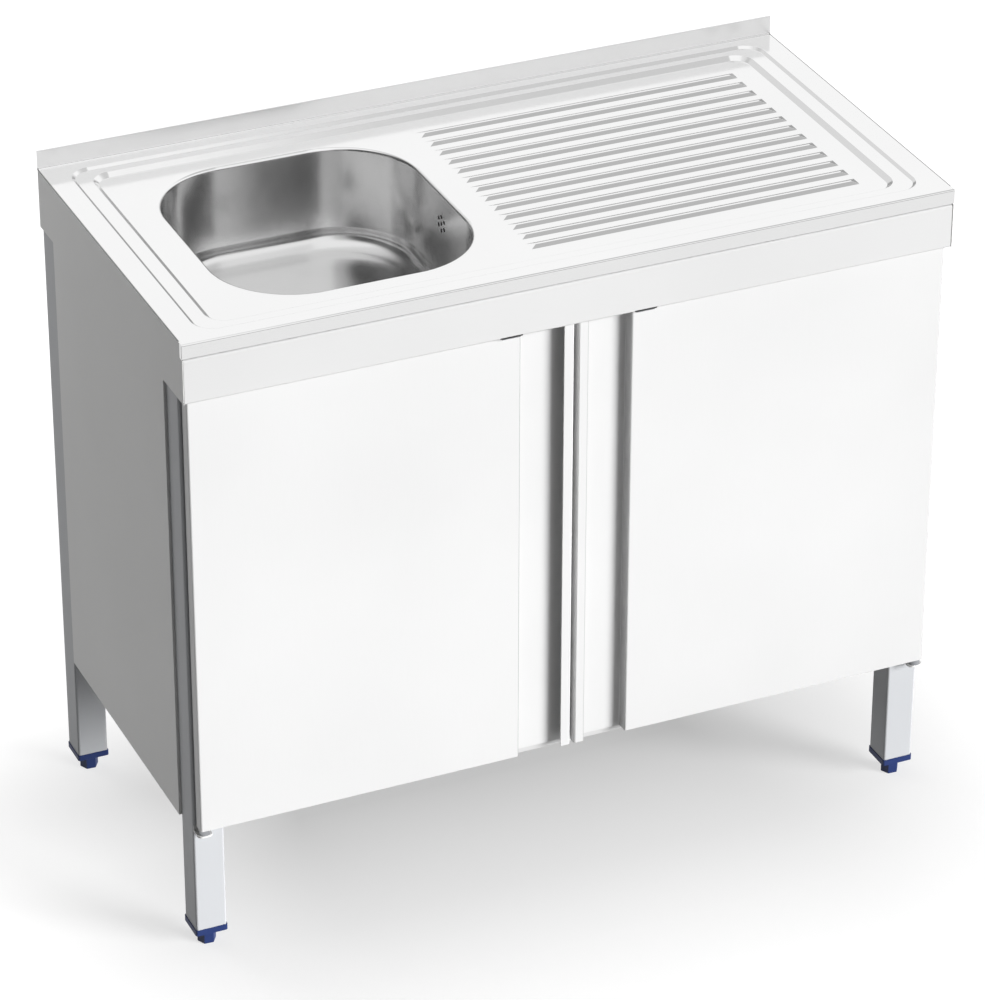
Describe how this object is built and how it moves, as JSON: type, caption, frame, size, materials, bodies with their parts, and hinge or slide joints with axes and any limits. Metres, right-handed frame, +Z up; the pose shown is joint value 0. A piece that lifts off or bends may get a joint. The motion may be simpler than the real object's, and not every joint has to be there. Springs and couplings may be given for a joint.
{
  "type": "sink cabinet",
  "caption": "Folded sheet metal sink cabinet with a deep bowl and ribbed drainer in a recessed worktop, pivot-hung doors with grip channels, and square legs on levelling feet.",
  "frame": {"origin": "centre of the footprint on the floor, with the feet screwed in", "axes": "+X along the width to the drainer's end, +Y to the rear, +Z up"},
  "size_m": [1, 0.5, 0.885],
  "materials": {
    "worktop_steel": "satin",
    "bowl_steel": "satin",
    "panel_steel": "satin",
    "door_steel": "satin",
    "leg_steel": "satin",
    "blue_plastic": "moulded",
    "white_plastic": "moulded",
    "dark_plastic": "moulded",
    "black_rubber": "matt",
    "fittings": "bright zinc"
  },
  "bodies": {
    "cabinet": {"worktop": "worktop_steel", "basin": "bowl_steel", "drainer_stiffeners": "panel_steel", "sound_pad": "black_rubber", "waste_strainer": "bowl_steel", "waste_seal": "black_rubber", "waste_body": "white_plastic", "waste_screw": "fittings", "overflow_seal": "black_rubber", "overflow_head": "white_plastic", "overflow_hose": "white_plastic", "front_apron": "panel_steel", "left_side_panel": "panel_steel", "right_side_panel": "panel_steel", "rear_rail": "panel_steel", "back_panel": "panel_steel", "floor_panel": "panel_steel", "floor_rivets": "fittings", "front_left_leg": "leg_steel", "front_right_leg": "leg_steel", "rear_left_leg": "leg_steel", "rear_right_leg": "leg_steel", "front_left_plug": "blue_plastic", "front_right_plug": "blue_plastic", "rear_left_plug": "blue_plastic", "rear_right_plug": "blue_plastic", "left_lower_lug": "panel_steel", "left_upper_lug": "panel_steel", "right_lower_lug": "panel_steel", "right_upper_lug": "panel_steel", "lower_bushes": "white_plastic", "upper_bushes": "white_plastic", "left_catch": "dark_plastic", "right_catch": "dark_plastic", "catch_screws": "fittings", "door_buffers": "black_rubber"},
    "left_door": {"left_door_skin": "door_steel", "left_door_back": "door_steel", "left_door_pins": "fittings", "left_strike_plate": "fittings"},
    "right_door": {"right_door_skin": "door_steel", "right_door_back": "door_steel", "right_door_pins": "fittings", "right_strike_plate": "fittings"},
    "front_left_foot_body": {"front_left_foot": "blue_plastic"},
    "front_right_foot_body": {"front_right_foot": "blue_plastic"},
    "rear_left_foot_body": {"rear_left_foot": "blue_plastic"},
    "rear_right_foot_body": {"rear_right_foot": "blue_plastic"}
  },
  "joints": [
    {"name": "left_door_hinge", "type": "hinge", "parent": "cabinet", "child": "left_door", "pos_m": [-0.487, -0.235, 0.4835], "axis": [0, 0, -1], "range_deg": [0, 170]},
    {"name": "right_door_hinge", "type": "hinge", "parent": "cabinet", "child": "right_door", "pos_m": [0.487, -0.235, 0.4835], "axis": [0, 0, 1], "range_deg": [0, 170]},
    {"name": "front_left_foot_screw", "type": "slide", "parent": "cabinet", "child": "front_left_foot_body", "axis": [0, 0, -1], "range_m": [0, 0.025]},
    {"name": "front_right_foot_screw", "type": "slide", "parent": "cabinet", "child": "front_right_foot_body", "axis": [0, 0, -1], "range_m": [0, 0.025]},
    {"name": "rear_left_foot_screw", "type": "slide", "parent": "cabinet", "child": "rear_left_foot_body", "axis": [0, 0, -1], "range_m": [0, 0.025]},
    {"name": "rear_right_foot_screw", "type": "slide", "parent": "cabinet", "child": "rear_right_foot_body", "axis": [0, 0, -1], "range_m": [0, 0.025]}
  ]
}
